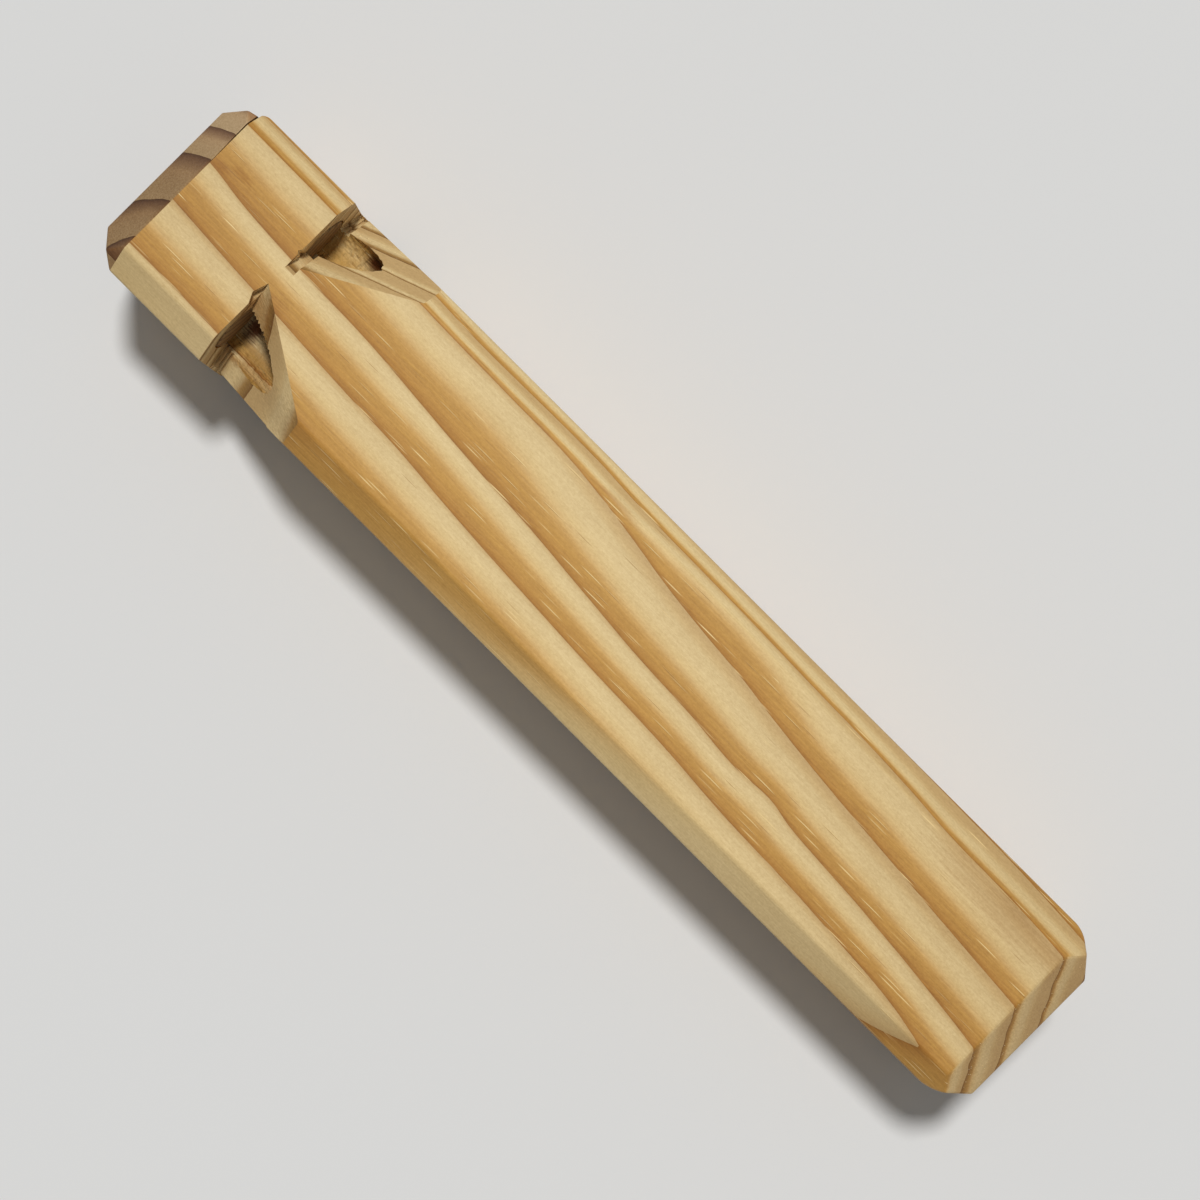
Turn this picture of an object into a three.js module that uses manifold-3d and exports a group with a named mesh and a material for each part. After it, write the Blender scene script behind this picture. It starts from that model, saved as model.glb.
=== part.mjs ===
// A wooden train whistle: a square bar of pine with four stopped pipes bored side by side.
// Sizes are in millimetres and +Z is up. X runs along the bar with the mouth end at -X, and the
// origin lies under the middle of the bar, on the face it rests on. Seen from above with the mouth
// end at the top of the view, left is -Y and right is +Y.
// The player blows into the hole in the mouth cap. The air fills a shallow pocket behind it, leaves
// over the flat of each fipple plug and strikes the lip of the window cut across each long edge.

import * as THREE from 'three';
import { ConvexGeometry } from 'three/addons/geometries/ConvexGeometry.js';
import { mergeVertices } from 'three/addons/utils/BufferGeometryUtils.js';
import Module from 'manifold-3d';

const wasm = await Module();
wasm.setup();

// Bar, measured over everything
const barLength = 171.5;
const barWidth = 31;
const barThickness = 31;

// Chamfers along the four long edges, as the width that each takes off a face. They were planed by
// eye: the left ones narrow towards the far end and the right ones widen.
const leftChamferAtMouth = 3.8;
const leftChamferAtFarEnd = 3.4;
const rightChamferAtMouth = 2.9;
const rightChamferAtFarEnd = 4.6;

// Both ends are bevelled all round, at 45 degrees on the wide faces and a little steeper on the sides.
// The cap is bevel for its whole thickness.
const capThickness = 4.9;
const capBevelOnSides = 4.3;
const farBevel = 5.2;
const farBevelOnSides = 4.4;

// Mouth
const blowHoleRadius = 4.5;
const pocketDepth = 4.5;

// Pipes
const pipeRadius = 4.2;
const wallToSide = 2.8;
const wallToTop = 2.6;
const drillPointAngle = 118;

// Solid wood left between the end of each pipe and the far face, which sets its note
const woodBeyondTopLeft = 14;
const woodBeyondTopRight = 36;
const woodBeyondBottomLeft = 59;
const woodBeyondBottomRight = 48;

// Fipple plugs
const windwayHeight = 1.2;

// Windows: a stop cut square to the bar, then a ramp that rises to the corner of the bar. The lip is
// where the ramp meets the pipe, and its distance is measured from the stop cut.
const stopCutFromMouth = 22.5;
const leftLipDistance = 10.2;
const leftRampAngle = 24.5;
const rightLipDistance = 9.1;
const rightRampAngle = 21.5;
// On the right the saw went square down for its own width, a little deeper than the ramp begins
const rightKerfWidth = 1.7;
const rightKerfOvershoot = 0.4;

// Clearances
const glueLine = 0.3;
const plugFit = 0.25;

// Faces of a full turn on everything round
const roundSides = 48;
// How far a cutter stands proud of what it cuts
const overcut = 1;

const mouthX = -barLength / 2;
const farX = barLength / 2;
const capBackX = mouthX + capThickness;
const bodyFrontX = capBackX + glueLine;
const farBevelX = farX - farBevel;
const stopCutX = mouthX + stopCutFromMouth;
const pocketFloorX = bodyFrontX + pocketDepth;
const halfWidth = barWidth / 2;
const halfThickness = barThickness / 2;
const pipeY = halfWidth - wallToSide - pipeRadius;
const pipeZ = halfThickness - wallToTop - pipeRadius;
// The pocket reaches to the middle of every pipe
const pocketRadius = Math.hypot(pipeY, pipeZ);
// Width that a 45 degree cut takes off a face when it just touches the pipe
const lipCut = wallToSide + wallToTop + 2 * pipeRadius - Math.SQRT2 * pipeRadius;

const woods = {
  body: new THREE.MeshStandardMaterial({ color: 0xdcb57a, roughness: 0.55, flatShading: true }),
  cap: new THREE.MeshStandardMaterial({ color: 0xb3946c, roughness: 0.65, flatShading: true }),
  plug: new THREE.MeshStandardMaterial({ color: 0x9c7544, roughness: 0.7, flatShading: true }),
};

// The four long edges, each with its pipe: side is -1 on the left, level is 1 on top
const edges = [
  { name: 'top_left', side: -1, level: 1, woodBeyond: woodBeyondTopLeft },
  { name: 'top_right', side: 1, level: 1, woodBeyond: woodBeyondTopRight },
  { name: 'bottom_left', side: -1, level: -1, woodBeyond: woodBeyondBottomLeft },
  { name: 'bottom_right', side: 1, level: -1, woodBeyond: woodBeyondBottomRight },
];

// Solid from a closed geometry, with its shared corners joined first
function toSolid(geometry) {
  geometry.deleteAttribute('normal');
  geometry.deleteAttribute('uv');
  const merged = mergeVertices(geometry);
  return new wasm.Manifold(new wasm.Mesh({
    numProp: 3,
    vertProperties: new Float32Array(merged.attributes.position.array),
    triVerts: new Uint32Array(merged.index.array),
  }));
}

// Named mesh from a finished solid, lifted so that the bar rests on its lower face
function toMesh(name, solid, material) {
  const { vertProperties, triVerts } = solid.getMesh();
  const geometry = new THREE.BufferGeometry();
  geometry.setAttribute('position', new THREE.BufferAttribute(vertProperties, 3));
  geometry.setIndex(new THREE.BufferAttribute(triVerts, 1));
  geometry.computeVertexNormals();
  const mesh = new THREE.Mesh(geometry, material);
  mesh.name = name;
  mesh.position.z = halfThickness;
  return mesh;
}

// Prism over the bar's outline along its length, with both ends bevelled, centred on its axis
function barPrism(half, mouthCut, farCut, depth) {
  const outline = new THREE.Shape();
  outline.moveTo(mouthX, -half + mouthCut);
  outline.lineTo(capBackX, -half);
  outline.lineTo(farBevelX, -half);
  outline.lineTo(farX, -half + farCut);
  outline.lineTo(farX, half - farCut);
  outline.lineTo(farBevelX, half);
  outline.lineTo(capBackX, half);
  outline.lineTo(mouthX, half - mouthCut);
  outline.closePath();
  const prism = new THREE.ExtrudeGeometry(outline, { depth, bevelEnabled: false });
  prism.translate(0, 0, -depth / 2);
  return prism;
}

// Cutter along one long edge whose face lies at 45 degrees. It takes the width startCut off both
// faces at startX and endCut at endX.
function edgeCutter({ side, level }, startX, startCut, endX, endCut) {
  const corners = [];
  for (const [x, cut] of [[startX, startCut], [endX, endCut]]) {
    const outerY = halfWidth + overcut;
    const outerZ = halfThickness + overcut;
    const innerY = halfWidth - cut - overcut;
    const innerZ = halfThickness - cut - overcut;
    corners.push(new THREE.Vector3(x, side * outerY, level * outerZ));
    corners.push(new THREE.Vector3(x, side * innerY, level * outerZ));
    corners.push(new THREE.Vector3(x, side * outerY, level * innerZ));
  }
  return toSolid(new ConvexGeometry(corners));
}

// Long chamfer, carried on past both ends at the same slope
function chamferCutter(edge) {
  const atMouth = edge.side < 0 ? leftChamferAtMouth : rightChamferAtMouth;
  const atFarEnd = edge.side < 0 ? leftChamferAtFarEnd : rightChamferAtFarEnd;
  const slope = (atFarEnd - atMouth) / barLength;
  return edgeCutter(
    edge,
    mouthX - overcut, atMouth - slope * overcut,
    farX + overcut, atFarEnd + slope * overcut,
  );
}

// Window: the ramp falls from the sharp corner of the bar to the stop cut
function windowCutter(edge) {
  const lipDistance = edge.side < 0 ? leftLipDistance : rightLipDistance;
  const rampAngle = edge.side < 0 ? leftRampAngle : rightRampAngle;
  // The face of the cut lies across the corner, so its width grows by the root of two
  const slope = Math.SQRT2 * Math.tan(THREE.MathUtils.degToRad(rampAngle));
  const cutAtStop = lipCut + slope * lipDistance;
  const rampEndX = stopCutX + cutAtStop / slope;
  const ramp = edgeCutter(edge, stopCutX, cutAtStop, rampEndX, 0);
  if (edge.side < 0) return ramp;
  const kerfCut = cutAtStop + rightKerfOvershoot;
  return ramp.add(edgeCutter(edge, stopCutX, kerfCut, stopCutX + rightKerfWidth, kerfCut));
}

// Round cutter or rod along the bar, from one station to another
function rodAlongBar(radius, startX, endX) {
  const rod = new THREE.CylinderGeometry(radius, radius, endX - startX, roundSides);
  rod.rotateZ(-Math.PI / 2);
  rod.translate((startX + endX) / 2, 0, 0);
  return rod;
}

// Pipe, drilled from the mouth end of the body and ending in the cone of the drill's point
function pipeCutter({ side, level, woodBeyond }) {
  const shoulderX = farX - woodBeyond;
  const coneDepth = pipeRadius / Math.tan(THREE.MathUtils.degToRad(drillPointAngle / 2));
  const startX = bodyFrontX - overcut;
  const profile = [
    new THREE.Vector2(0, startX),
    new THREE.Vector2(pipeRadius, startX),
    new THREE.Vector2(pipeRadius, shoulderX),
    new THREE.Vector2(0, shoulderX + coneDepth),
  ];
  const drill = new THREE.LatheGeometry(profile, roundSides);
  drill.rotateZ(-Math.PI / 2);
  drill.translate(0, side * pipeY, level * pipeZ);
  return toSolid(drill);
}

// The bar before it is cut into cap and body: plan and side outlines crossed, long edges chamfered
function makeBlank() {
  const plan = barPrism(halfWidth, capBevelOnSides, farBevelOnSides, barThickness + overcut);
  const elevation = barPrism(halfThickness, capThickness, farBevel, barWidth + overcut);
  elevation.rotateX(Math.PI / 2);
  let blank = toSolid(plan).intersect(toSolid(elevation));
  for (const edge of edges) {
    blank = blank.subtract(chamferCutter(edge));
  }
  return blank;
}

// Slice of the bar between two stations
function sliceOf(blank, startX, endX) {
  const slab = new THREE.BoxGeometry(endX - startX, barWidth + overcut, barThickness + overcut);
  slab.translate((startX + endX) / 2, 0, 0);
  return blank.intersect(toSolid(slab));
}

function makeCap(blank) {
  const blowHole = rodAlongBar(blowHoleRadius, mouthX - overcut, capBackX + overcut);
  return sliceOf(blank, mouthX, capBackX).subtract(toSolid(blowHole));
}

function makeBody(blank) {
  const pocket = rodAlongBar(pocketRadius, bodyFrontX - overcut, pocketFloorX);
  let body = sliceOf(blank, bodyFrontX, farX).subtract(toSolid(pocket));
  for (const edge of edges) {
    body = body.subtract(pipeCutter(edge)).subtract(windowCutter(edge));
  }
  return body;
}

// Dowel that fills the pipe from the pocket to the stop cut. The flat that faces the corner of the
// bar leaves the windway open between dowel and pipe.
function makePlug({ side, level }) {
  const dowelRadius = pipeRadius - plugFit;
  const dowel = rodAlongBar(dowelRadius, pocketFloorX, stopCutX);
  const flat = new THREE.BoxGeometry(barLength, pipeRadius, 2 * pipeRadius);
  // The box stands off the axis by the height of the flat, then turns to face the corner
  flat.translate(0, pipeRadius - windwayHeight + pipeRadius / 2, 0);
  flat.rotateX(Math.atan2(level, side));
  const plug = toSolid(dowel).subtract(toSolid(flat));
  return plug.translate([0, side * pipeY, level * pipeZ]);
}

const whistle = new THREE.Group();
const blank = makeBlank();
whistle.add(toMesh('whistle_body', makeBody(blank), woods.body));
whistle.add(toMesh('mouth_cap', makeCap(blank), woods.cap));
for (const edge of edges) {
  whistle.add(toMesh(`fipple_plug_${edge.name}`, makePlug(edge), woods.plug));
}

export default whistle;
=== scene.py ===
# A pine train whistle: the bored bar with its four slanted windows, the glued mouth cap and the four
# dowels behind it. Settings are in mm unless they say otherwise. The mouth end is at -X, left is -Y,
# and heights are measured from the face that the whistle rests on.
import math

import bpy
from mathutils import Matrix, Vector


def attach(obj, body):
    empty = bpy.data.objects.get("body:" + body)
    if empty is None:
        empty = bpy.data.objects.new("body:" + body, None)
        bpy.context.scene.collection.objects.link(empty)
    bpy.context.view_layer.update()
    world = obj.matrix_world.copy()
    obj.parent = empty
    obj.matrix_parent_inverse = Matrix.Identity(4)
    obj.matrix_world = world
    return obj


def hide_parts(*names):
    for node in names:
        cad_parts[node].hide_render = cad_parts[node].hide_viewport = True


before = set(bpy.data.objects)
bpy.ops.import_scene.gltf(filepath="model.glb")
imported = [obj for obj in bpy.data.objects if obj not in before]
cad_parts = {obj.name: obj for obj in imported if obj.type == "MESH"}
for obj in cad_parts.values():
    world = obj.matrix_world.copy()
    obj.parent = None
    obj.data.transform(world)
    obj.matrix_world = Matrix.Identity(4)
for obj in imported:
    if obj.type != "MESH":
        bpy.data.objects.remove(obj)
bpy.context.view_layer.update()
bpy.ops.object.select_all(action="DESELECT")

mm = 0.001
overcut = 1  # how far a cutter stands proud of what it cuts
nearlyFlat = 0.001  # slope of a cut that hardly rises
near = 0.1  # two places closer than this are the same

facets = {
    "round": 64,  # sides of everything turned or drilled
    "corner": 5,
    "arris": 2,
}

# The bar as it is sawn and planed
bar = {
    "mouth": -85.75,
    "capBack": -81.1,
    "bodyFront": -80.97,
    "farBevelStart": 80.55,
    "far": 85.75,
    "half": 15.5,
    "leftChamfer": (3.8, 3.4),  # width taken off a face at the mouth and at the far end
    "rightChamfer": (2.9, 4.6),
    "capBevelOnSides": 4.1,
    "farBevelOnSides": {-1: 3.8, 1: 4.8},  # left and right
    "farCornerRound": {-1: 1.9, 1: 1.4},
    "mouthCornerRound": 1.4,
    "arrisWear": 0.35,
    "wornWhere": 20,  # degrees that the faces turn at an edge
}
middle = bar["half"]

# The four long edges of the bar as side and level: -1 is left or low, 1 is right or high
edges = {
    "top_left": (-1, 1),
    "top_right": (1, 1),
    "bottom_left": (-1, -1),
    "bottom_right": (1, -1),
}

# Growth rings of the bar. The heart of the tree lies to the right of the bar and below it. Each line
# is the sharp dark edge that ends one year, as (distance from the middle of the bar, place across it)
# where it meets the level of the top face. The points were read off the photograph, turned into
# mm and rounded.
barGrain = {
    "heart": (62, -69),
    "level": 31,
    "reach": (80, 130),
    "lines": [
        [(-86, 31), (-20, 28.5), (40, 26), (56, 25), (69, 24.2), (86, 20.8)],
        [(-86, 21), (-63, 20.7), (-46, 18.5), (-36, 17.6), (-29, 17.9), (-13, 18.3), (-6, 17.2),
         (17, 16.3), (29, 15.5), (40, 15), (49, 13.9), (58, 12.1), (68, 11.8), (86, 10)],
        [(-86, 12.7), (-63, 12.4), (-47, 11.8), (-29, 11.5), (-18, 11.3), (-10, 10.6), (-3, 9.6),
         (6, 8.2), (14, 7.3), (22, 6.6), (30, 5.5), (42, 4.2), (52, 3.4), (63, 2.5), (72, 1.8),
         (86, 0.7)],
        [(-86, 5.4), (-80, 5), (-73, 4.1), (-61, 3.4), (-48, 3), (-36, 2), (-24, 1.1), (-13, 0.5),
         (-3, -0.4), (8, -1.4), (20, -2), (30, -2.8), (36.5, -2.5), (41, -3.3), (46, -3.7),
         (58, -4.5), (72, -5.9), (86, -7.8)],
        [(-86, -1.8), (-73, -2.7), (-58, -3.5), (-46, -4.2), (-34, -4.7), (-20, -5.8), (-8, -6.5),
         (6, -7.2), (20, -7.7), (33, -8.6), (47, -9.1), (56, -9.7), (67, -10.5), (76, -12),
         (86, -13.3)],
        [(-86, -10.7), (-63, -10.95), (-52, -11.6), (-42, -12.6), (-20, -14.2), (0, -15),
         (86, -19.5)],
    ],
    "yearsBelow": (3.3, 2.9, 3.6, 3.2, 2.7, 3.4, 3.1),  # widths of the years under the first line
    "yearsAbove": (3.6, 3.2),
    # How late in the year the dark wood starts: 1 is about half way, and more is later. These and the
    # tone along the board were fitted to average tones of the photograph.
    "lateness": [
        [(-86, 3.6), (0, 4.2), (50, 4.5), (86, 3.2)],
        [(-86, 2.2), (-60, 2.6), (-30, 4.8), (-9, 4.4), (1, 2.7), (11, 1.8), (21, 1.6), (30, 1.95),
         (38, 2.5), (57, 2.2), (74, 2.4), (86, 2.6)],
        [(-86, 1.1), (-60, 1.15), (-43, 1.3), (-26, 1.2), (-9, 1.8), (15, 2), (40, 2.1), (86, 1.8)],
        [(-86, 1), (-43, 1.1), (-26, 1), (-9, 1.2), (30, 1.35), (86, 1.5)],
        [(-86, 1.45), (-40, 1.3), (-4, 1.1), (20, 1.3), (86, 1.5)],
    ],
    # Beyond the left arris the rings lean away from the heart, most of all near the mouth
    "leanFrom": -11,
    "lean": [(-86, 0.2), (-63, 0.2), (-50, 0.05), (86, -0.05)],
    # The board is a little darker towards both ends, partly its own tone and partly painted shade
    # where the light falls off towards the ends
    "toneAndShadeAlong": [(-86, 0.87), (-67, 0.95), (-45, 1), (10, 1), (28, 0.97), (45, 0.94), (65, 0.9),
                  (86, 0.86)],
    # Darker patches as place, size, strength and colour. Some are stains on the wood; the ones marked
    # below are painted shade and painted shadow in the windows.
    "stainsAndShades": [
        ((-76.4, 7, 31), (3, 1, 2), 0.5, "brown"),
        ((-79.6, 5.8, 31), (2.2, 0.9, 2), 0.35, "brown"),
        ((-61.2, -4.2, 28.2), (5.6, 4.4, 4.5), 0.8, "brown"),
        ((-7.5, 11.7, 31), (5, 0.8, 2), 0.5, "brown"),
        # Painted shade on the floor of the left hole, where its upper edge shades it
        ((-57.5, -8.8, 20), (8, 3.4, 4), 0.7, "paintedShade"),
        ((-57.5, -11.6, 21.6), (9, 1.5, 4), 1, "brown"),
        # Painted shadow in the corner of the left hole, under the stop and the upper edge
        ((-61.8, -6.6, 21), (2.4, 4, 8), 1, "paintedShadow"),
        # Painted shadow at the far tip of the right hole, under its lip
        ((-55.9, 11.6, 21.8), (2.6, 2.2, 3), 1, "paintedShadow"),
        # Painted shade on the left ramp below its hole
        ((-50, -12.6, 27.4), (9, 4, 4), 0.35, "paintedShade"),
        ((70, 9, 31), (18, 3.4, 3), 0.4, "brown"),
    ],
}

# The cap is cut from another board, heart side up, so its rings run tight round its left corner
capGrain = {
    "heart": (-15.6, 37.8),
    "reach": (0, 60),
    "radii": (4.6, 9.2, 14.7, 22.2, 26.9, 31.8, 36.2, 41, 45.5, 50.5),
    "toneAcross": (0, 13, 0.54, 1.0),  # darker from the second place across to the first
}

dowelGrain = {
    "heart": (3, 40),
    "reach": (0, 80),
    "radii": tuple(2 + 1.7 * i for i in range(36)),  # narrow even years
}

# Ends of the scale that each curve along the bar is kept on
curves = {
    "along": (-86, 86),
    "lateness": (0, 6),
    "lean": (-1, 1),
    "tone": (0, 1.2),
}
usualLateness = 1.1  # of the years that have no curve


def paint(red, green, blue):
    # Linear colour from the 0-255 values of a paint picker
    def linear(value):
        value /= 255
        return value / 12.92 if value <= 0.04045 else ((value + 0.055) / 1.055) ** 2.4
    return (linear(red), linear(green), linear(blue), 1)


# Noise in the wood. The scale is per mm along, across and up, so a small number draws it out.
noises = {
    "drift": {"scale": (0.05, 0.4, 0.4), "detail": 3, "roughness": 0.5},
    "wobble": {"scale": (0.35, 0.35, 0.35), "detail": 2, "roughness": 0.5},
    "fibre": {"scale": (0.16, 3.2, 3.2), "detail": 4, "roughness": 0.62},
    "cloud": {"scale": (0.06, 0.22, 0.22), "detail": 2, "roughness": 0.5},
    "speck": {"scale": (1.9, 3.6, 3.6), "detail": 5, "roughness": 0.7},
    "drillMarks": {"scale": (1.7, 0.5, 0.5), "detail": 3, "roughness": 0.5},
}

# Where one thing in the wood passes into the next
passages = {
    "endways": (0.12, 0.95),  # from a cut along the fibres to one across them
    "golden": (0.3, 0.55),  # parts of a year
    "line": (0.6, 0.95),
    "patch": (1, 0.2),  # from the rim of each stain and patch of painted shade inwards
    "fibre": (0.25, 0.75),
}
toneExponents = (0.85, 1.05, 1.35)  # darker wood is also browner

# Tone through one year, from the pale wood of spring to the dark edge where growth stops
pineYear = [
    (0, paint(200, 167, 114)),
    (0.015, paint(211, 180, 125)),
    (0.05, paint(219, 192, 139)),
    (0.16, paint(225, 198, 144)),
    (0.28, paint(222, 192, 134)),
    (0.38, paint(217, 181, 120)),
    (0.46, paint(206, 163, 96)),
    (0.54, paint(196, 150, 80)),
    (0.64, paint(192, 145, 73)),
    (0.8, paint(189, 140, 69)),
    (0.88, paint(181, 131, 62)),
    (0.97, paint(170, 119, 54)),
    (1, paint(156, 106, 46)),
]

capYear = [
    (0, paint(200, 172, 130)),
    (0.35, paint(194, 162, 120)),
    (0.6, paint(172, 136, 96)),
    (0.85, paint(152, 112, 75)),
    (1, paint(118, 82, 50)),
]

dowelYear = [
    (0, paint(178, 142, 96)),
    (0.6, paint(170, 132, 86)),
    (1, paint(150, 112, 70)),
]

stainAndShadeColours = {
    "brown": paint(212, 188, 160),
    # The next two colours are painted shade and painted shadow
    "paintedShade": paint(190, 182, 180),
    "paintedShadow": paint(100, 62, 28),
}


def addNode(tree, kind, sockets=None, **settings):
    node = tree.nodes.new(kind)
    for name, value in settings.items():
        setattr(node, name, value)
    for name, value in (sockets or {}).items():
        if isinstance(value, bpy.types.NodeSocket):
            tree.links.new(value, node.inputs[name])
        else:
            node.inputs[name].default_value = value
    return node


def maths(tree, operation, first, second=0.0):
    return addNode(tree, "ShaderNodeMath", {0: first, 1: second}, operation=operation).outputs[0]


def vectorMaths(tree, operation, first, second=(0, 0, 0)):
    node = addNode(tree, "ShaderNodeVectorMath", {0: first, 1: second}, operation=operation)
    return node.outputs["Value" if operation in ("LENGTH", "DOT_PRODUCT") else "Vector"]


def inverse(sizes):
    return tuple(1 / size for size in sizes)


def spread(tree, value, low, high, toLow=0.0, toHigh=1.0, smooth=False):
    kind = "SMOOTHSTEP" if smooth else "LINEAR"
    sockets = {"Value": value, "From Min": low, "From Max": high, "To Min": toLow, "To Max": toHigh}
    return addNode(tree, "ShaderNodeMapRange", sockets, interpolation_type=kind).outputs[0]


def blendColours(tree, kind, amount, first, second):
    node = addNode(tree, "ShaderNodeMix", data_type="RGBA", blend_type=kind, clamp_factor=True)
    sockets = (node.inputs[0], node.inputs[6], node.inputs[7])
    for socket, value in zip(sockets, (amount, first, second)):
        if isinstance(value, bpy.types.NodeSocket):
            tree.links.new(value, socket)
        else:
            socket.default_value = value
    return node.outputs[2]


def colourRamp(tree, value, stops):
    node = addNode(tree, "ShaderNodeValToRGB", {"Fac": value})
    ramp = node.color_ramp
    ramp.elements[0].position, ramp.elements[0].color = stops[0]
    ramp.elements[1].position, ramp.elements[1].color = stops[-1]
    for place, colour in stops[1:-1]:
        ramp.elements.new(place).color = colour
    return node.outputs["Color"]


def noise(tree, point, kind):
    shape = noises[kind]
    space = addNode(tree, "ShaderNodeMapping", {"Vector": point, "Scale": shape["scale"]}).outputs[0]
    return addNode(tree, "ShaderNodeTexNoise", {
        "Vector": space,
        "Scale": 1.0,
        "Detail": shape["detail"],
        "Roughness": shape["roughness"],
    }).outputs[0]


def aboutZero(tree, value):
    return maths(tree, "SUBTRACT", value, 0.5)


def curveAlong(tree, station, points, low, high):
    # Smooth curve along the bar through a few points, scaled so that low is 0 and high is 1
    node = addNode(tree, "ShaderNodeFloatCurve", {"Value": station})
    curve = node.mapping.curves[0]
    start, end = curves["along"]
    places = [((x - start) / (end - start), (value - low) / (high - low)) for x, value in points]
    curve.points[0].location = places[0]
    curve.points[1].location = places[-1]
    for place in places[1:-1]:
        curve.points.new(*place)
    node.mapping.update()
    return node.outputs[0]


def valueAlong(tree, station, points, kind):
    low, high = curves[kind]
    return spread(tree, curveAlong(tree, station, points, low, high), 0, 1, low, high)


def ringPhase(tree, parts, station, grain, wander):
    # Whole part: the year. Fraction: how far through it.
    across, up = grain["heart"]
    low, high = grain["reach"]
    aside = maths(tree, "SUBTRACT", parts[1], across)
    above = maths(tree, "SUBTRACT", parts[2], up)
    aside = maths(tree, "MULTIPLY", aside, aside)
    above = maths(tree, "MULTIPLY", above, above)
    distance = maths(tree, "SQRT", maths(tree, "ADD", aside, above))
    distance = maths(tree, "ADD", distance, wander)
    if "lean" in grain:
        beyond = maths(tree, "MAXIMUM", maths(tree, "SUBTRACT", grain["leanFrom"], parts[1]), 0.0)
        lean = maths(tree, "MULTIPLY", beyond, valueAlong(tree, station, grain["lean"], "lean"))
        distance = maths(tree, "ADD", distance, lean)
    distance = spread(tree, distance, low, high)

    def share(radius):
        return (radius - low) / (high - low)

    lines = []
    if "radii" in grain:
        lines = [share(radius) for radius in grain["radii"]]
    else:
        rise = grain["level"] - up
        for line in grain["lines"]:
            radii = [(x, math.hypot(across - y, rise)) for x, y in line]
            lines.append(curveAlong(tree, station, radii, low, high))
        for width in grain["yearsBelow"]:
            lines.insert(0, maths(tree, "SUBTRACT", lines[0], width / (high - low)))
        for width in grain["yearsAbove"]:
            lines.append(maths(tree, "ADD", lines[-1], width / (high - low)))

    first = len(grain.get("yearsBelow", ()))
    lateness = grain.get("lateness", ())
    total = 0.0
    for i in range(len(lines) - 1):
        year = spread(tree, distance, lines[i], lines[i + 1])
        late = usualLateness
        if 0 <= i - first < len(lateness):
            late = valueAlong(tree, station, lateness[i - first], "lateness")
        total = maths(tree, "ADD", total, maths(tree, "POWER", year, late))
    return total


def resinCanals(tree, point, golden, canals, colour):
    # Short bright dashes of pale resin, partly a painted highlight, with a painted shadow on one
    # edge, thickest in the golden wood. Also gives their painted shadow edge.
    space = addNode(tree, "ShaderNodeMapping",
                    {"Vector": point, "Scale": inverse(canals["spacing"])}).outputs[0]
    cells = addNode(tree, "ShaderNodeTexVoronoi", {"Vector": space, "Scale": 1.0, "Randomness": 1.0})
    offset = vectorMaths(tree, "SUBTRACT", space, cells.outputs["Position"])
    offset = vectorMaths(tree, "MULTIPLY", offset, canals["spacing"])
    scaled = vectorMaths(tree, "MULTIPLY", offset, inverse(canals["size"]))
    dash = spread(tree, vectorMaths(tree, "LENGTH", scaled), *canals["fade"], smooth=True)
    luck = addNode(tree, "ShaderNodeSeparateColor", {0: cells.outputs["Color"]}).outputs
    share = canals["share"]
    chance = spread(tree, golden, 0, 1, canals["shareInPale"] * share, share)
    dash = maths(tree, "MULTIPLY", dash, maths(tree, "LESS_THAN", luck[0], chance))

    side = vectorMaths(tree, "DOT_PRODUCT", scaled, (0, 1, 1))
    darkEdge, brightEdge = canals["split"]
    bright = maths(tree, "MULTIPLY", dash, spread(tree, side, darkEdge, brightEdge, smooth=True))
    paintedShadowEdge = maths(tree, "MULTIPLY", dash, spread(tree, side, brightEdge, darkEdge, smooth=True))
    bright = maths(tree, "MULTIPLY", bright, spread(tree, luck[1], 0, 1, *canals["brightness"]))
    for part, kind in ((bright, "bright"), (paintedShadowEdge, "paintedShadowEdge")):
        amount = maths(tree, "MULTIPLY", part, canals[kind])
        colour = blendColours(tree, "MIX", amount, colour, canals[kind + "Colour"])
    return colour, paintedShadowEdge


def addStainAndShade(tree, point, fibre, patch, colour):
    # Darkens the colour round one spot, for stains and for patches of painted shade and shadow alike
    spot, size, strength, shade = patch
    away = vectorMaths(tree, "SUBTRACT", point, spot)
    away = vectorMaths(tree, "MULTIPLY", away, inverse(size))
    away = vectorMaths(tree, "LENGTH", away)
    away = maths(tree, "ADD", away, aboutZero(tree, fibre))
    amount = spread(tree, away, *passages["patch"], 0, strength, smooth=True)
    return blendColours(tree, "MULTIPLY", amount, colour, stainAndShadeColours[shade])


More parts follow.
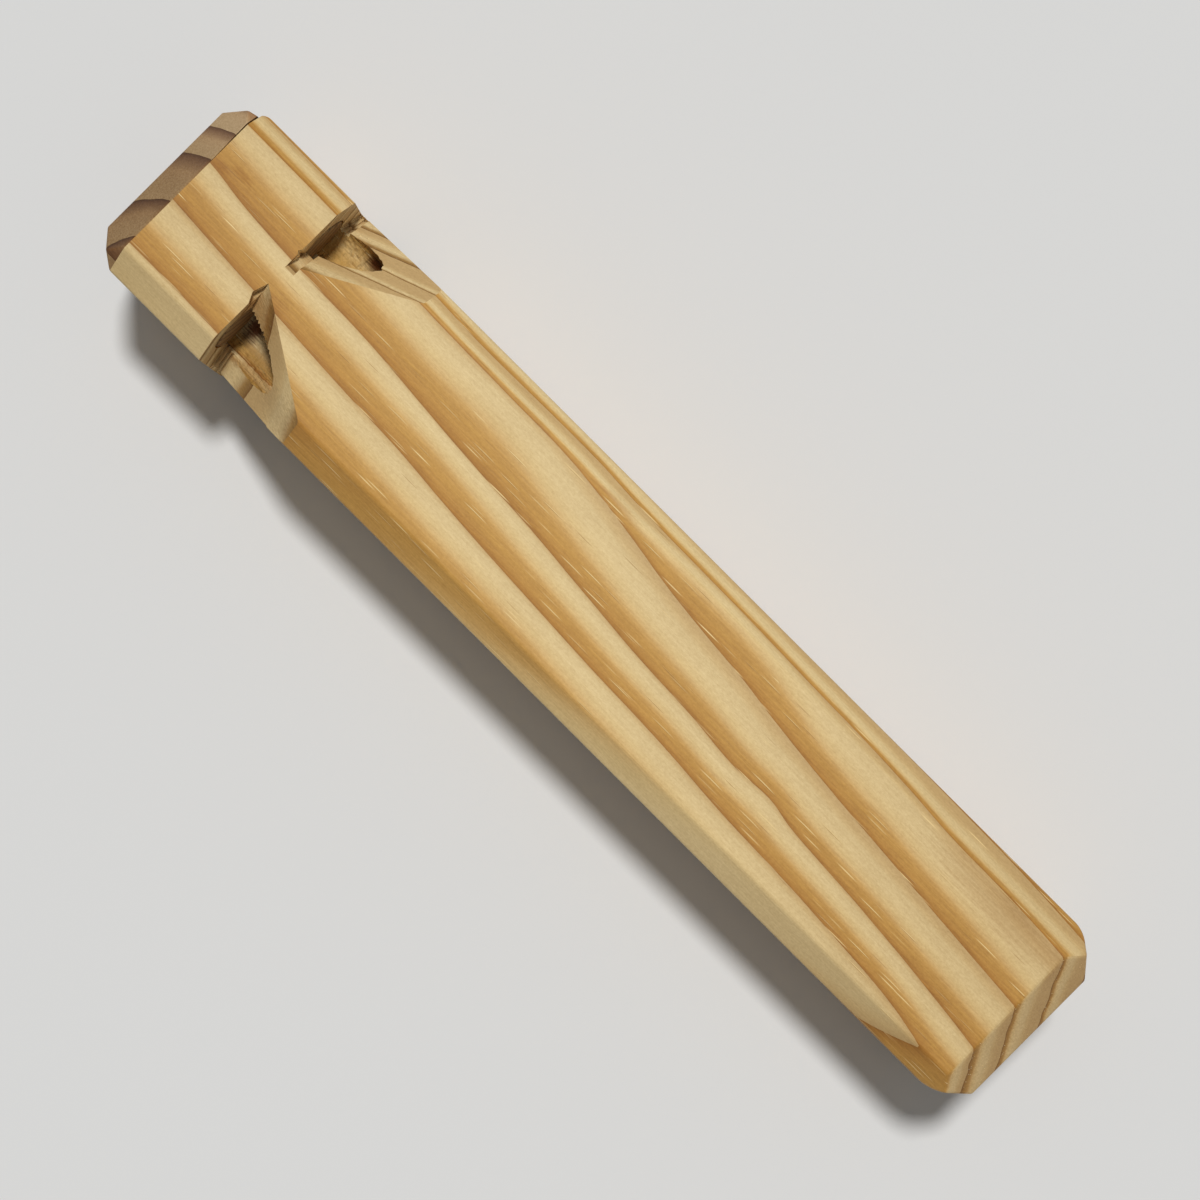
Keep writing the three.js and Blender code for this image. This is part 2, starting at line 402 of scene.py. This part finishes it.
def woodMaterial(name, grain, year, look):
    material = bpy.data.materials.new(name)
    material.use_nodes = True
    tree = material.node_tree
    shader = tree.nodes["Principled BSDF"]
    place = addNode(tree, "ShaderNodeTexCoord").outputs["Object"]
    point = addNode(tree, "ShaderNodeVectorMath", {0: place, "Scale": 1 / mm},
                    operation="SCALE").outputs[0]
    parts = addNode(tree, "ShaderNodeSeparateXYZ", {0: point}).outputs
    station = spread(tree, parts[0], *curves["along"])

    # The ring lines wander slowly along the grain. Where the cut crosses the fibres they wobble too,
    # and a year shows mostly pale wood.
    facing = addNode(tree, "ShaderNodeNewGeometry").outputs["Normal"]
    endways = maths(tree, "ABSOLUTE", addNode(tree, "ShaderNodeSeparateXYZ", {0: facing}).outputs[0])
    endways = spread(tree, endways, *passages["endways"], smooth=True)
    wander = maths(tree, "MULTIPLY", aboutZero(tree, noise(tree, point, "drift")), look["wander"])
    wobble = maths(tree, "MULTIPLY", aboutZero(tree, noise(tree, point, "wobble")), endways)
    wander = maths(tree, "ADD", wander, maths(tree, "MULTIPLY", wobble, look["endWobble"]))
    phase = ringPhase(tree, parts, station, grain, wander)
    part = maths(tree, "FRACT", phase)
    plain = look["sharpness"]
    sharpness = spread(tree, endways, 0, 1, plain, plain + look["endSharpness"])
    colour = colourRamp(tree, maths(tree, "POWER", part, sharpness), year)

    # Tone: along the board (partly painted shade towards its ends) or across it, in fibres, clouds
    # and specks, and each year a little lighter or darker than the next
    tone = 1.0
    if "toneAndShadeAlong" in grain:
        tone = valueAlong(tree, station, grain["toneAndShadeAlong"], "tone")
    if "toneAcross" in grain:
        tone = spread(tree, parts[1], *grain["toneAcross"])
    golden = spread(tree, part, *passages["golden"])
    streaks = spread(tree, golden, 0, 1, look["fibre"], look["goldenFibre"])
    fibre = noise(tree, point, "fibre")
    cloud = noise(tree, point, "cloud")
    speck = noise(tree, point, "speck")
    yearTone = addNode(tree, "ShaderNodeTexWhiteNoise", {"W": maths(tree, "FLOOR", phase)},
                       noise_dimensions="1D").outputs["Value"]
    for value, amount in ((fibre, streaks), (cloud, look["cloud"]), (speck, look["speck"]),
                          (yearTone, look["yearTone"])):
        tone = maths(tree, "ADD", tone, maths(tree, "MULTIPLY", aboutZero(tree, value), amount))
    channels = {i: maths(tree, "POWER", tone, exponent) for i, exponent in enumerate(toneExponents)}
    toneColour = addNode(tree, "ShaderNodeCombineColor", channels).outputs[0]
    colour = blendColours(tree, "MULTIPLY", 1.0, colour, toneColour)

    colour, paintedShadowEdge = resinCanals(tree, point, golden, look["canals"], colour)
    # Stains, and painted shade and shadow in the windows
    for patch in grain.get("stainsAndShades", ()):
        colour = addStainAndShade(tree, point, fibre, patch, colour)

    # End grain is duller and greyer (on sawn wood lighter instead, as painted light on the stop
    # walls), and on sawn wood the line of each year stands out
    colour = blendColours(tree, "MULTIPLY", endways, colour, look["endTint"])
    cutLine = maths(tree, "MAXIMUM", endways, look["cutLine"])
    line = maths(tree, "MULTIPLY", spread(tree, part, *passages["line"]), cutLine)
    colour = blendColours(tree, "MULTIPLY", line, colour, look["lineTint"])
    colour = blendColours(tree, "MULTIPLY", 1.0, colour, look["tint"])
    tree.links.new(colour, shader.inputs["Base Color"])

    low, high = (look["roughness"] + change for change in look["fibreRoughness"])
    rough = spread(tree, fibre, *passages["fibre"], low, high)
    tree.links.new(rough, shader.inputs["Roughness"])
    shader.inputs["Specular IOR Level"].default_value = look["specular"]

    height = maths(tree, "ADD", maths(tree, "MULTIPLY", fibre, look["fibreRelief"]),
                   maths(tree, "MULTIPLY", speck, look["speckRelief"]))
    height = maths(tree, "SUBTRACT", height, maths(tree, "MULTIPLY", paintedShadowEdge, look["canals"]["depth"]))
    if "drillRelief" in look:
        marks = maths(tree, "MULTIPLY", noise(tree, point, "drillMarks"), look["drillRelief"])
        height = maths(tree, "ADD", height, marks)
    bump = addNode(tree, "ShaderNodeBump", {"Height": height, "Strength": 1.0, "Distance": mm})
    tree.links.new(bump.outputs[0], shader.inputs["Normal"])
    return material


def varied(look, **changes):
    return {**look, **changes}


planedLook = {
    "wander": 0.12,
    "endWobble": 0.9,
    "fibre": 0.3,
    "goldenFibre": 0.7,
    "cloud": 0.12,
    "speck": 0.55,
    "yearTone": 0.04,
    "sharpness": 1,
    "endSharpness": 1.2,
    "cutLine": 0,
    "canals": {
        "spacing": (7.6, 0.52, 0.52),
        "size": (2.7, 0.125, 0.135),
        "fade": (1.0, 0.4),
        "share": 0.95,
        "shareInPale": 0.12,
        "split": (-0.5, -0.2),  # from the painted shadow edge to the bright part
        "brightness": (0.25, 1.0),
        # The pale resin with its painted highlight, and the painted shadow on its edge
        "bright": 1.0,
        "brightColour": paint(240, 210, 148),
        "paintedShadowEdge": 0.65,
        "paintedShadowEdgeColour": paint(150, 104, 52),
        "depth": 0.02,
    },
    "endTint": (0.91, 0.87, 0.86, 1),
    "lineTint": (0.54, 0.57, 0.74, 1),
    "tint": (1, 1, 1, 1),
    "roughness": 0.52,
    "fibreRoughness": (-0.05, 0.06),
    "specular": 0.18,
    "fibreRelief": 0.03,
    "speckRelief": 0.02,
}
# On sawn wood the end grain is made lighter, not darker: painted light on the stop walls, which face
# away from the key lamp. The tint then darkens all sawn wood a little.
sawnLook = varied(
    planedLook, endTint=(1.3, 1.3, 1.3, 1), tint=(0.88, 0.87, 0.86, 1), speck=0.5, sharpness=3.2,
    cutLine=1, roughness=0.7, specular=0.2, fibreRelief=0.05, speckRelief=0.09,
    canals=varied(planedLook["canals"], share=0.3),
)
drilledLook = varied(
    planedLook, endTint=(0.7, 0.64, 0.58, 1), tint=(1.1, 1.22, 1.42, 1), speck=0.3, goldenFibre=0.3,
    roughness=0.62, specular=0.25, fibreRelief=0.12, speckRelief=0.1, drillRelief=0.35,
)
capLook = varied(
    planedLook, endTint=(0.81, 0.8, 0.82, 1), endWobble=0.5, speck=0.8, fibre=0.2, goldenFibre=0.2,
    sharpness=0.9, roughness=0.6, speckRelief=0.06, canals=varied(planedLook["canals"], bright=0),
)
dowelLook = varied(planedLook, speck=0.2, roughness=0.6, endTint=(0.8, 0.76, 0.72, 1))

woods = {
    "planed": woodMaterial("pinePlaned", barGrain, pineYear, planedLook),
    "sawn": woodMaterial("pineSawn", barGrain, pineYear, sawnLook),
    "drilled": woodMaterial("pineDrilled", barGrain, pineYear, drilledLook),
    "cap": woodMaterial("pineCap", capGrain, capYear, capLook),
    "dowel": woodMaterial("dowelWood", dowelGrain, dowelYear, dowelLook),
}
print("woods mixed")


def pick(piece):
    bpy.ops.object.select_all(action="DESELECT")
    bpy.context.view_layer.objects.active = piece
    piece.select_set(True)


def edit(piece, action="SELECT"):
    pick(piece)
    bpy.ops.object.mode_set(mode="EDIT")
    bpy.ops.mesh.select_all(action=action)


def resumeEdit():
    bpy.ops.object.mode_set(mode="EDIT")


def endEdit():
    bpy.ops.object.mode_set(mode="OBJECT")


def addModifier(piece, kind):
    pick(piece)
    bpy.ops.object.modifier_add(type=kind)
    return piece.modifiers[-1]


def settle(name, wood):
    # Moves the new piece's place and size into its mesh
    piece = bpy.context.object
    piece.name = name
    bpy.ops.object.transform_apply(location=True, rotation=True, scale=True)
    piece.data.materials.clear()
    piece.data.materials.append(woods[wood])
    return piece


def addBlock(name, wood, low, high):
    centre = [(a + b) / 2 * mm for a, b in zip(low, high)]
    size = [(b - a) * mm for a, b in zip(low, high)]
    bpy.ops.mesh.primitive_cube_add(size=1, location=centre, scale=size)
    return settle(name, wood)


def addRod(name, wood, radius, start, end, across, up):
    bpy.ops.mesh.primitive_cylinder_add(
        vertices=facets["round"], radius=radius * mm, depth=(end - start) * mm,
        location=((start + end) / 2 * mm, across * mm, up * mm), rotation=(0, math.pi / 2, 0))
    return settle(name, wood)


def saw(piece, point, normal):
    # Flat cut that takes away the side that the normal points to
    edit(piece)
    place = [value * mm for value in point]
    bpy.ops.mesh.bisect(plane_co=place, plane_no=Vector(normal).normalized(), use_fill=True,
                        clear_outer=True, threshold=1e-6)
    endEdit()


def carve(piece, cutter):
    cut = addModifier(piece, "BOOLEAN")
    cut.operation = "DIFFERENCE"
    cut.solver = "EXACT"
    cut.object = cutter
    cut.material_mode = "TRANSFER"
    bpy.ops.object.modifier_apply(modifier=cut.name)
    bpy.data.objects.remove(cutter)


def softenEdges(piece, settings):
    bevel = addModifier(piece, "BEVEL")
    bevel.width = settings["arrisWear"] * mm
    bevel.segments = facets["arris"]
    bevel.limit_method = "ANGLE"
    bevel.angle_limit = math.radians(settings["wornWhere"])
    bpy.ops.object.modifier_apply(modifier=bevel.name)


def roundCorner(piece, station, across, width):
    # Rounds one of the blank's upright edges, at the given place along the bar
    edit(piece)
    bpy.ops.mesh.select_mode(type="EDGE")
    bpy.ops.mesh.select_all(action="DESELECT")
    endEdit()
    points = piece.data.vertices
    for edge in piece.data.edges:
        a, b = (points[i].co / mm for i in edge.vertices)
        upright = abs(a.z - b.z) > bar["half"]
        edge.select = upright and abs(a.x - station) < near and a.y * across > 0
    resumeEdit()
    bpy.ops.mesh.bevel(offset=width * mm, segments=facets["corner"], affect="EDGES")
    bpy.ops.mesh.select_mode(type="VERT")
    endEdit()


def chamferLongEdges(piece):
    for across, up in edges.values():
        atMouth, atFar = bar["leftChamfer"] if across < 0 else bar["rightChamfer"]
        slope = (atFar - atMouth) / (bar["far"] - bar["mouth"])
        width = (atMouth + atFar) / 2
        point = (0, across * bar["half"], middle + up * (bar["half"] - width))
        saw(piece, point, (slope, across, up))


def makeBlank(name, wood, start, end):
    half = bar["half"]
    return addBlock(name, wood, (start, -half, 0), (end, half, 2 * half))


def bevelFarEnd(piece):
    half = bar["half"]
    start = bar["farBevelStart"]
    depth = bar["far"] - start
    for across in (-1, 1):
        inward = bar["farBevelOnSides"][across]
        saw(piece, (start, across * half, middle), (inward, across * depth, 0))
        roundCorner(piece, start, across, bar["farCornerRound"][across])
    for up in (-1, 1):
        saw(piece, (start, 0, middle + up * half), (1, 0, up))


pipes = {
    "radius": 4.2,
    "across": 8.5,
    "offMiddle": 8.7,
    "pocketDepth": 4.92,
    "pocketRadius": 12.16,
    "drillPoint": 2.52,
    "woodBeyond": {"top_left": 14, "top_right": 36, "bottom_left": 59, "bottom_right": 48},
    "tornFrom": -63,
    "tornTo": -50.4,
    "tornStep": 0.3,
    "tornDepth": 0.4,
    "tornGrain": 0.6,
    "tornStretch": 1.6,
    # The drill left teeth along the inner edge of the upper left pipe
    "teeth": (0.3, 0.16, 0.24, 0.34, 0.14, 0.3, 0.2, 0.32, 0.18, 0.26, 0.14),
    "toothReach": 0.4,
}


def pullTooth(pipe, station, size):
    edit(pipe, "DESELECT")
    endEdit()
    for point in pipe.data.vertices:
        x, y, z = point.co / mm
        inner = y > -pipes["across"] - pipes["toothReach"] and z > middle + pipes["offMiddle"]
        point.select = inner and abs(x - station) < near
    resumeEdit()
    bpy.ops.transform.translate(value=(0, size * mm, size * mm))
    endEdit()


def roughenMouth(pipe, name):
    # Torn and chattered wall where the window opens the pipe
    first, last, step = pipes["tornFrom"], pipes["tornTo"], pipes["tornStep"]
    for i in range(round((last - first) / step) + 1):
        edit(pipe)
        bpy.ops.mesh.bisect(plane_co=((first + i * step) * mm, 0, 0), plane_no=(1, 0, 0))
        endEdit()
    if name == "top_left":
        for i, size in enumerate(pipes["teeth"]):
            pullTooth(pipe, first + (2 * i + 2) * step, size)
    torn = pipe.vertex_groups.new(name="torn")
    inside = [point.index for point in pipe.data.vertices
              if first + near < point.co.x / mm < last - near]
    torn.add(inside, 1.0, "REPLACE")

    # An empty stretches the texture along the grain
    bpy.ops.object.empty_add(location=(0, 0, 0))
    stretch = bpy.context.object
    stretch.scale = (pipes["tornStretch"], 1, 1)
    splinters = bpy.data.textures.new("splinters", type="CLOUDS")
    splinters.noise_scale = pipes["tornGrain"] * mm
    splinters.noise_depth = 2
    push = addModifier(pipe, "DISPLACE")
    push.texture = splinters
    push.texture_coords = "OBJECT"
    push.texture_coords_object = stretch
    push.vertex_group = "torn"
    push.strength = pipes["tornDepth"] * mm
    bpy.context.view_layer.update()
    bpy.ops.object.modifier_apply(modifier=push.name)
    bpy.data.objects.remove(stretch)


def makePipe(name, across, up, end):
    start = bar["bodyFront"] - overcut
    place = (across * pipes["across"], middle + up * pipes["offMiddle"])
    pipe = addRod("pipe_" + name, "drilled", pipes["radius"], start, end, *place)
    # The point of the drill is drawn out of the far face
    edit(pipe)
    bpy.ops.mesh.select_mode(type="FACE")
    bpy.ops.mesh.select_all(action="DESELECT")
    endEdit()
    for face in pipe.data.polygons:
        face.select = face.normal.x > 0.9  # all but square to the pipe
    resumeEdit()
    draw = {"value": (pipes["drillPoint"] * mm, 0, 0)}
    bpy.ops.mesh.extrude_region_move(TRANSFORM_OT_translate=draw)
    bpy.ops.mesh.merge(type="CENTER")
    bpy.ops.mesh.select_mode(type="VERT")
    endEdit()
    roughenMouth(pipe, name)
    return pipe


# Each window is a stop cut across the corner, then a ramp back up to the sharp corner of the bar
windows = {
    "stop": -63.25,
    "leftCut": 14.43,  # width off both faces at the stop
    "leftSlope": 0.6445,
    "rightCut": 12.93,
    "rightSlope": 0.557,
    "kerf": 1.7,
    "kerfOvershoot": 0.4,
    # The saw left grooves in the outer half of each window, beside the stop
    "leftSawMarks": (-62.95, -62.2, -61.55),
    "rightSawMarks": (-62.95, -62.3),
    "sawMarkWidth": 0.34,
    "sawMarkDepth": 0.34,
    "sawMarksFrom": 10.8,
}


def makeRamp(name, across, up, startCut, start, slope):
    # Wedge over one corner of the bar, whose flat face crosses the corner and rises along the bar
    half = bar["half"]
    side, level = across * (half + overcut), up * (half + overcut)
    low = (start, min(0, side), middle + min(0, level))
    high = (start + startCut / slope + overcut, max(0, side), middle + max(0, level))
    ramp = addBlock("window_" + name, "sawn", low, high)
    point = (start, 0, middle + up * (2 * half - startCut))
    saw(ramp, point, (slope, -across, -up))
    return ramp


# Splinters broken out of the top face beside the stop: where they start and end across the bar, the
# place of the point between along and across it, and how deep they go
chips = (
    {"start": -1.05, "end": -5, "point": (-64, -3.4), "depth": 1.5},
    {"start": 5.6, "end": 4.7, "point": (-63.6, 5.1), "depth": 3.2},
)


def addChip(body, start, end, point, depth):
    station, across = point
    stop = windows["stop"]
    top = 2 * bar["half"]
    low, high = sorted((start, end))
    # The block starts before the point and runs a hair past the stop
    chip = addBlock("chip", "sawn", (station - overcut / 2, low, top - depth),
                    (stop + near / 2, high, top + overcut))
    for corner in (start, end):
        along, over = stop - station, corner - across
        away = math.copysign(1, over)
        saw(chip, (stop, corner, top), (-abs(over), away * along, 0))
    carve(body, chip)


# The left side was sanded in between its upper and lower window
recess = {
    "from": -63.2,
    "deepest": -62.9,
    "to": -47.5,
    "depth": 0.72,
    "heights": (6, 25),
}


def addRecess(body):
    half = bar["half"]
    deep = recess["depth"]
    low, high = recess["heights"]
    hollow = addBlock("recess", "sawn", (recess["from"], -half - overcut, low),
                      (recess["to"], -half + deep, high))
    for station in (recess["from"], recess["to"]):
        run = recess["deepest"] - station
        saw(hollow, (station, -half, middle), (-math.copysign(deep, run), abs(run), 0))
    carve(body, hollow)


def cutWindow(body, name, across, up):
    side = "left" if across < 0 else "right"
    stop = windows["stop"]
    cut, slope = windows[side + "Cut"], windows[side + "Slope"]
    carve(body, makeRamp(name, across, up, cut, stop, slope))
    if side == "right":
        # Here the saw went square down for its own width
        cut += windows["kerfOvershoot"]
        slope = nearlyFlat
        kerf = makeRamp("kerf_" + name, across, up, cut, stop, slope)
        saw(kerf, (stop + windows["kerf"], 0, 0), (1, 0, 0))
        carve(body, kerf)
    # Grooves of the saw, in the outer half and parallel to what it cut last
    for station in windows[side + "SawMarks"]:
        floorCut = cut - slope * (station - stop) + windows["sawMarkDepth"]
        mark = makeRamp("sawMark", across, up, floorCut, station, nearlyFlat)
        saw(mark, (station + windows["sawMarkWidth"], 0, 0), (1, 0, 0))
        saw(mark, (0, across * windows["sawMarksFrom"], 0), (0, -across, 0))
        carve(body, mark)


def makeBody():
    front = bar["bodyFront"]
    body = makeBlank("whistleBody", "planed", front - bar["arrisWear"], bar["far"])
    bevelFarEnd(body)
    roundCorner(body, front - bar["arrisWear"], 1, bar["mouthCornerRound"])
    chamferLongEdges(body)
    softenEdges(body, bar)
    # The face that the cap is glued to is cut square again
    saw(body, (front, 0, middle), (-1, 0, 0))
    for name, (across, up) in edges.items():
        cutWindow(body, name, across, up)
    for chip in chips:
        addChip(body, **chip)
    addRecess(body)
    carve(body, addRod("pocket", "drilled", pipes["pocketRadius"], front - overcut,
                       front + pipes["pocketDepth"], 0, middle))
    # The rough pipes come last, so that every other cut goes through plain flat wood
    for name, (across, up) in edges.items():
        carve(body, makePipe(name, across, up, bar["far"] - pipes["woodBeyond"][name]))
    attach(body, "root")
    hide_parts("whistle_body")
    print("body carved,", len(body.data.polygons), "faces")


cap = {
    "blowHoleRadius": 4.5,
    "arrisWear": 0.3,
    "wornWhere": 12,
    "sandedRight": (-82.8, 14, 0.25),  # place along and across the bar, and angle to it
    "seamAtRight": 0.3,
    "seamAtLeft": 0.02,
    "seamCloses": 4,  # the seam is open to the right of this
}


def makeCap():
    half = bar["half"]
    depth = bar["capBack"] - bar["mouth"]
    back = bar["bodyFront"] - cap["seamAtLeft"]
    piece = makeBlank("mouthCap", "cap", bar["mouth"], back + overcut)
    bevel = bar["capBack"]
    for across in (-1, 1):
        saw(piece, (bevel, across * half, middle), (-bar["capBevelOnSides"], across * depth, 0))
    for up in (-1, 1):
        saw(piece, (bevel, 0, middle + up * half), (-1, 0, up))
    chamferLongEdges(piece)
    # Its right side was sanded in a little
    station, across, turn = cap["sandedRight"]
    saw(piece, (station, across, middle), (-math.sin(turn), math.cos(turn), 0))
    softenEdges(piece, cap)
    # The glued seam gapes towards the right
    gape = cap["seamAtRight"] - cap["seamAtLeft"]
    saw(piece, (back, 0, middle), (1, 0, 0))
    saw(piece, (back, cap["seamCloses"], middle), (half - cap["seamCloses"], gape, 0))
    carve(piece, addRod("blowHole", "cap", cap["blowHoleRadius"], bar["mouth"] - overcut,
                        bar["capBack"] + overcut, 0, middle))
    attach(piece, "root")
    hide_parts("mouth_cap")
    print("cap carved")


dowels = {
    "radius": 3.95,
    "flat": 3.0,  # from the axis to the flat that leaves the windway open
    "arrisWear": 0.12,
    "wornWhere": 40,
}


def makeDowel(name, across, up):
    start = bar["bodyFront"] + pipes["pocketDepth"]
    place = (across * pipes["across"], middle + up * pipes["offMiddle"])
    dowel = addRod("fipplePlug_" + name, "dowel", dowels["radius"], start, windows["stop"], *place)
    reach = dowels["flat"] / math.sqrt(2)
    saw(dowel, (0, place[0] + across * reach, place[1] + up * reach), (0, across, up))
    softenEdges(dowel, dowels)
    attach(dowel, "root")
    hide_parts("fipple_plug_" + name)


lighting = {
    "keyFrom": (-0.17, 0.27, 0.95),  # a touch from the mouth end and more from the right
    "keyStrength": 2.36,
    "keySoftness": 8,  # degrees
    "fill": 0.2,
    "backdrop": (0.86, 0.86, 0.85, 1),
    "floor": (0.74, 0.74, 0.73, 1),
    "floorSize": 12,  # metres
    "floorDrop": 0.2,
    "floorRoughness": 0.95,
}


def makeStage():
    bpy.ops.mesh.primitive_plane_add(size=lighting["floorSize"],
                                     location=(0, 0, -lighting["floorDrop"] * mm))
    floor = bpy.context.object
    floor.name = "floor"
    paper = bpy.data.materials.new("paper")
    paper.use_nodes = True
    shader = paper.node_tree.nodes["Principled BSDF"]
    shader.inputs["Base Color"].default_value = lighting["floor"]
    shader.inputs["Roughness"].default_value = lighting["floorRoughness"]
    shader.inputs["Specular IOR Level"].default_value = 0.0
    floor.data.materials.append(paper)

    bpy.ops.object.light_add(type="SUN", location=(0, 0, 1))
    key = bpy.context.object
    key.name = "key"
    key.data.energy = lighting["keyStrength"]
    key.data.angle = math.radians(lighting["keySoftness"])
    x, y, z = lighting["keyFrom"]
    key.rotation_euler = (0, math.atan2(math.hypot(x, y), z), math.atan2(y, x))

    world = bpy.data.worlds.new("studio")
    world.use_nodes = True
    bpy.context.scene.world = world
    tree = world.node_tree
    tree.nodes.clear()
    # The fill lights the whistle, and the backdrop is only seen and mirrored
    path = addNode(tree, "ShaderNodeLightPath").outputs
    seen = maths(tree, "MAXIMUM", path["Is Camera Ray"], path["Is Glossy Ray"])
    light = addNode(tree, "ShaderNodeBackground",
                    {"Color": (1, 1, 1, 1), "Strength": lighting["fill"]}).outputs[0]
    backdrop = addNode(tree, "ShaderNodeBackground",
                       {"Color": lighting["backdrop"], "Strength": 1.0}).outputs[0]
    mixed = addNode(tree, "ShaderNodeMixShader", {0: seen, 1: light, 2: backdrop}).outputs[0]
    addNode(tree, "ShaderNodeOutputWorld", {"Surface": mixed})
    print("stage set")


# The camera looks almost straight down, with the mouth end at the upper left
view = {
    "place": (7.6, -3.9, 430.9),
    "turn": (1.17, 0.304, 44.976),  # degrees
    "lens": 86.75,
    "sensor": 36,
}


def makeCamera():
    bpy.ops.object.camera_add(location=[value * mm for value in view["place"]],
                              rotation=[math.radians(value) for value in view["turn"]])
    camera = bpy.context.object
    camera.name = "camera"
    camera.data.lens = view["lens"]
    camera.data.sensor_width = view["sensor"]
    bpy.context.scene.camera = camera
    print("camera placed")


makeCamera()
makeStage()
makeBody()
makeCap()
for name, (across, up) in edges.items():
    makeDowel(name, across, up)
print("dowels fitted")

bpy.context.scene.view_settings.view_transform = "Standard"
